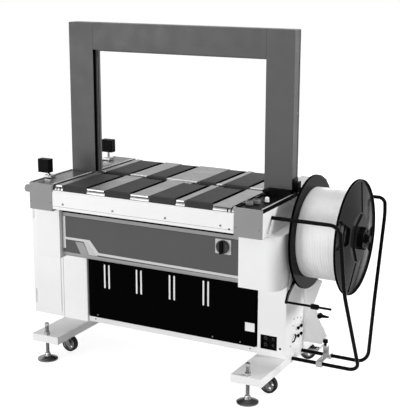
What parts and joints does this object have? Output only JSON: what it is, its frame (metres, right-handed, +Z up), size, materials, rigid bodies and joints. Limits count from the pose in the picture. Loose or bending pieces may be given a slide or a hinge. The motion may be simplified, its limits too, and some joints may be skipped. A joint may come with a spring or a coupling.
{
  "type": "arch strapping machine",
  "caption": "Free-standing arch strapping machine with a driven belt table, side strap reel with tube guard, electrical cabinet, casters and levelling feet.",
  "frame": {"origin": "middle of the machine's outer box, on the floor", "axes": "+X towards the strap reel, +Y from the operator's side to the far side, +Z up"},
  "size_m": [1.632, 0.758, 1.498],
  "materials": {
    "white_paint": "satin powder coat",
    "grey_paint": "satin powder coat",
    "light_grey_paint": "satin powder coat",
    "black_paint": "satin",
    "grey_cap": "fine grain",
    "black_plastic": "fine grain",
    "gloss_black_plastic": "gloss",
    "grey_plastic": "satin",
    "belt_fabric": "fine weave",
    "steel": "brushed",
    "zinc": "bright zinc",
    "white_strap": "satin",
    "caster": "steel hub, black tread"
  },
  "bodies": {
    "frame": {"left_leg": "white_paint", "right_leg": "white_paint", "cross_frame": "white_paint", "strap_pool": "black_paint", "left_housing": "white_paint", "right_housing": "white_paint", "corner_caps": "grey_cap", "side_covers": "white_paint", "aprons": "white_paint", "left_deck": "grey_paint", "right_deck": "black_paint", "control_fittings": "black_plastic", "table_frame": "steel", "belts": "belt_fabric", "bed_plates": "steel", "belt_motor": "grey_paint", "strapping_head": "steel", "electrical_box": "white_paint", "arch_frame": "grey_paint", "arch_track": "black_plastic", "arch_bracket": "black_paint", "photo_eyes": "black_plastic", "dancer_spring": "zinc", "guide_plate": "white_paint", "guard_tubes": "black_paint", "guard_clamp": "zinc"},
    "front_door": {"front_door": "grey_paint", "door_trim": "light_grey_paint"},
    "rear_door": {"rear_door": "grey_paint"},
    "main_switch": {"switch_knob": "black_plastic"},
    "cabinet_door": {"electrical_box_door": "white_paint"},
    "reel": {"reel_core": "grey_plastic", "reel_inner_flange": "gloss_black_plastic", "reel_outer_flange": "gloss_black_plastic", "strap_coil": "white_strap"},
    "star_nut": {"star_nut": "black_plastic"},
    "dancer": {"dancer_arm": "black_paint"},
    "release_lever": {"release_lever": "black_plastic"},
    "clamp_knob": {"clamp_knob": "black_plastic"},
    "push_button_1": {"push_button_1": "grey_plastic"},
    "push_button_2": {"push_button_2": "grey_plastic"},
    "emergency_stop": {"emergency_stop": "black_plastic"},
    "feed_roller": {"feed_roller": "steel"},
    "front_roller": {"front_roller": "steel"},
    "front_inner_roller": {"front_inner_roller": "steel"},
    "rear_inner_roller": {"rear_inner_roller": "steel"},
    "rear_roller": {"rear_roller": "steel"},
    "levelling_foot_front_left": {"levelling_foot_front_left": "zinc"},
    "caster_fork_front_left": {"caster_fork_front_left": "zinc"},
    "caster_wheel_front_left": {"caster_wheel_front_left": "caster"},
    "levelling_foot_front_right": {"levelling_foot_front_right": "zinc"},
    "caster_fork_front_right": {"caster_fork_front_right": "zinc"},
    "caster_wheel_front_right": {"caster_wheel_front_right": "caster"},
    "levelling_foot_rear_left": {"levelling_foot_rear_left": "zinc"},
    "caster_fork_rear_left": {"caster_fork_rear_left": "zinc"},
    "caster_wheel_rear_left": {"caster_wheel_rear_left": "caster"},
    "levelling_foot_rear_right": {"levelling_foot_rear_right": "zinc"},
    "caster_fork_rear_right": {"caster_fork_rear_right": "zinc"},
    "caster_wheel_rear_right": {"caster_wheel_rear_right": "caster"},
    "caster_brake": {"caster_brake": "zinc"}
  },
  "joints": [
    {"name": "front_door_hinge", "type": "hinge", "parent": "frame", "child": "front_door", "pos_m": [-0.072, -0.27, 0.497], "axis": [1, 0, 0], "range_deg": [0, 95]},
    {"name": "rear_door_hinge", "type": "hinge", "parent": "frame", "child": "rear_door", "pos_m": [-0.072, 0.27, 0.497], "axis": [-1, 0, 0], "range_deg": [0, 95]},
    {"name": "main_switch_turn", "type": "hinge", "parent": "front_door", "child": "main_switch", "pos_m": [0.29, -0.283, 0.634], "axis": [0, 1, 0], "range_deg": [0, 90]},
    {"name": "cabinet_door_hinge", "type": "hinge", "parent": "frame", "child": "cabinet_door", "pos_m": [-0.801, -0.107, 0.4], "axis": [0, 0, -1], "range_deg": [0, 110]},
    {"name": "reel_spin", "type": "hinge", "parent": "frame", "child": "reel", "pos_m": [0.628, 0, 0.665], "axis": [1, 0, 0], "continuous": true},
    {"name": "star_nut_turn", "type": "hinge", "parent": "reel", "child": "star_nut", "pos_m": [0.787, 0, 0.665], "axis": [1, 0, 0], "continuous": true},
    {"name": "dancer_swing", "type": "hinge", "parent": "frame", "child": "dancer", "pos_m": [0.543, -0.06, 0.538], "axis": [1, 0, 0], "range_deg": [0, 15], "stiffness_Nm_per_rad": 6, "springref_deg": -20.05, "deforming": ["dancer_spring"]},
    {"name": "release_lever_turn", "type": "hinge", "parent": "frame", "child": "release_lever", "pos_m": [0.574, 0.102, 0.266], "axis": [0, 1, 0], "range_deg": [0, 45]},
    {"name": "clamp_knob_turn", "type": "hinge", "parent": "frame", "child": "clamp_knob", "pos_m": [0.628, 0.026, 0.19], "axis": [0, 0, 1], "continuous": true},
    {"name": "push_button_1_press", "type": "slide", "parent": "frame", "child": "push_button_1", "axis": [0, 0, -1], "range_m": [0, 0.004], "stiffness_N_per_m": 300, "springref_m": -0.002},
    {"name": "push_button_2_press", "type": "slide", "parent": "frame", "child": "push_button_2", "axis": [0, 0, -1], "range_m": [0, 0.004], "stiffness_N_per_m": 300, "springref_m": -0.002},
    {"name": "emergency_stop_press", "type": "slide", "parent": "frame", "child": "emergency_stop", "axis": [0, 0, -1], "range_m": [0, 0.006], "stiffness_N_per_m": 400, "springref_m": -0.003},
    {"name": "feed_roller_spin", "type": "hinge", "parent": "frame", "child": "feed_roller", "pos_m": [0.058, -0.07, 0.695], "axis": [0, 1, 0], "continuous": true},
    {"name": "front_roller_spin", "type": "hinge", "parent": "frame", "child": "front_roller", "pos_m": [-0.072, -0.3147, 0.7957], "axis": [1, 0, 0], "continuous": true},
    {"name": "front_inner_roller_spin", "type": "hinge", "parent": "frame", "child": "front_inner_roller", "pos_m": [-0.072, -0.0443, 0.7957], "axis": [1, 0, 0], "continuous": true},
    {"name": "rear_inner_roller_spin", "type": "hinge", "parent": "frame", "child": "rear_inner_roller", "pos_m": [-0.072, 0.0393, 0.7957], "axis": [1, 0, 0], "continuous": true},
    {"name": "rear_roller_spin", "type": "hinge", "parent": "frame", "child": "rear_roller", "pos_m": [-0.072, 0.3157, 0.7957], "axis": [1, 0, 0], "continuous": true},
    {"name": "levelling_foot_front_left_turn", "type": "hinge", "parent": "frame", "child": "levelling_foot_front_left", "pos_m": [-0.575, -0.333, 0.06], "axis": [0, 0, 1], "continuous": true},
    {"name": "caster_swivel_front_left", "type": "hinge", "parent": "frame", "child": "caster_fork_front_left", "pos_m": [-0.575, -0.216, 0.105], "axis": [0, 0, 1], "continuous": true},
    {"name": "caster_wheel_front_left_spin", "type": "hinge", "parent": "caster_fork_front_left", "child": "caster_wheel_front_left", "pos_m": [-0.533, -0.216, 0.0445], "axis": [0, 1, 0], "continuous": true},
    {"name": "levelling_foot_front_right_turn", "type": "hinge", "parent": "frame", "child": "levelling_foot_front_right", "pos_m": [0.431, -0.333, 0.06], "axis": [0, 0, 1], "continuous": true},
    {"name": "caster_swivel_front_right", "type": "hinge", "parent": "frame", "child": "caster_fork_front_right", "pos_m": [0.431, -0.216, 0.105], "axis": [0, 0, 1], "continuous": true},
    {"name": "caster_wheel_front_right_spin", "type": "hinge", "parent": "caster_fork_front_right", "child": "caster_wheel_front_right", "pos_m": [0.473, -0.216, 0.0445], "axis": [0, 1, 0], "continuous": true},
    {"name": "levelling_foot_rear_left_turn", "type": "hinge", "parent": "frame", "child": "levelling_foot_rear_left", "pos_m": [-0.575, 0.333, 0.06], "axis": [0, 0, 1], "continuous": true},
    {"name": "caster_swivel_rear_left", "type": "hinge", "parent": "frame", "child": "caster_fork_rear_left", "pos_m": [-0.575, 0.216, 0.105], "axis": [0, 0, 1], "continuous": true},
    {"name": "caster_wheel_rear_left_spin", "type": "hinge", "parent": "caster_fork_rear_left", "child": "caster_wheel_rear_left", "pos_m": [-0.533, 0.216, 0.0445], "axis": [0, 1, 0], "continuous": true},
    {"name": "levelling_foot_rear_right_turn", "type": "hinge", "parent": "frame", "child": "levelling_foot_rear_right", "pos_m": [0.431, 0.333, 0.06], "axis": [0, 0, 1], "continuous": true},
    {"name": "caster_swivel_rear_right", "type": "hinge", "parent": "frame", "child": "caster_fork_rear_right", "pos_m": [0.431, 0.216, 0.105], "axis": [0, 0, 1], "continuous": true},
    {"name": "caster_wheel_rear_right_spin", "type": "hinge", "parent": "caster_fork_rear_right", "child": "caster_wheel_rear_right", "pos_m": [0.473, 0.216, 0.0445], "axis": [0, 1, 0], "continuous": true},
    {"name": "caster_brake_press", "type": "hinge", "parent": "caster_fork_rear_right", "child": "caster_brake", "pos_m": [0.517, 0.216, 0.0605], "axis": [0, 1, 0], "range_deg": [0, 18]}
  ],
  "couplings": [
    {"joint": "front_inner_roller_spin", "follows": "front_roller_spin", "ratio": 1},
    {"joint": "rear_inner_roller_spin", "follows": "front_roller_spin", "ratio": 1},
    {"joint": "rear_roller_spin", "follows": "front_roller_spin", "ratio": 1}
  ]
}
